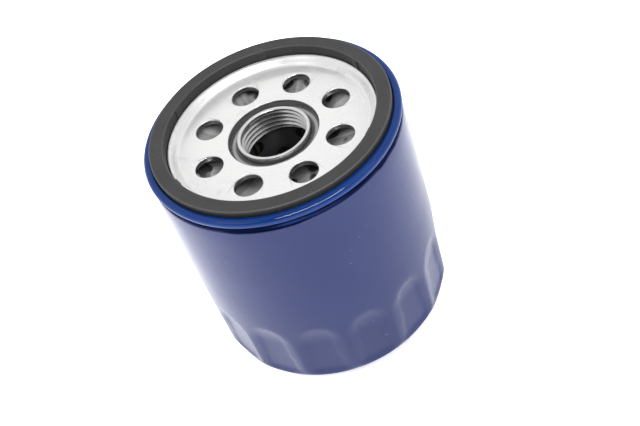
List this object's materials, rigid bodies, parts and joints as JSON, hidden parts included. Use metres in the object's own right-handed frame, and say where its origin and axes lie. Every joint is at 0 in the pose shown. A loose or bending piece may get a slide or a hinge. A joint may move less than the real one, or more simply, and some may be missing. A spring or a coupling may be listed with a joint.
{
  "type": "oil filter",
  "caption": "Spin-on engine oil filter: a painted steel can with a fluted closed end, a rubber gasket and a threaded base plate ringed by inlet holes.",
  "frame": {"origin": "centre of the closed end, in the plane that it stands on", "axes": "+Z along the thread's axis, from the closed end to the threaded end; +X through the centre of one inlet hole"},
  "size_m": [0.0764, 0.0764, 0.0775],
  "materials": {
    "blue_enamel": "satin baked enamel",
    "blue_enamel_gloss": "glossy baked enamel over a rolled seam",
    "seam_compound": "dried sealing compound",
    "bright_plate": "bright plated steel with faint handling marks",
    "gasket_rubber": "matt moulded nitrile rubber",
    "valve_rubber": "smooth moulded nitrile rubber",
    "tinned_steel": "tinned sheet steel",
    "tube_steel": "plain rolled sheet steel",
    "cap_adhesive": "cured end-cap adhesive",
    "filter_paper": "resin-treated pleated cellulose",
    "valve_nylon": "moulded glass-filled nylon",
    "spring_steel": "drawn spring wire"
  },
  "bodies": {
    "housing": {"can_shell": "blue_enamel", "seaming_lid": "blue_enamel_gloss", "seam_compound": "seam_compound", "base_plate": "bright_plate", "gasket": "gasket_rubber", "load_spring": "spring_steel"},
    "drain_valve": {"anti_drain_valve": "valve_rubber"},
    "element": {"open_end_cap": "tinned_steel", "open_end_adhesive": "cap_adhesive", "pleated_media": "filter_paper", "media_seam_clip": "tinned_steel", "centre_tube": "tube_steel", "closed_end_adhesive": "cap_adhesive", "closed_end_cap": "tinned_steel", "bypass_seat": "tinned_steel", "bypass_cage": "tinned_steel", "bypass_spring": "spring_steel"},
    "poppet": {"bypass_poppet": "valve_nylon", "poppet_seal": "valve_rubber"}
  },
  "joints": [
    {"name": "element_float", "type": "slide", "parent": "housing", "child": "element", "axis": [0, 0, -1], "range_m": [0, 0.0015], "stiffness_N_per_m": 6000, "springref_m": -0.004, "deforming": ["load_spring"]},
    {"name": "drain_flap", "type": "slide", "parent": "housing", "child": "drain_valve", "axis": [0, 0, -1], "range_m": [0, 0.0012], "stiffness_N_per_m": 500, "springref_m": -0.0005, "deforming": ["anti_drain_valve"]},
    {"name": "bypass_lift", "type": "slide", "parent": "element", "child": "poppet", "axis": [0, 0, 1], "range_m": [0, 0.0025], "stiffness_N_per_m": 2000, "springref_m": -0.004, "deforming": ["bypass_spring"]}
  ]
}
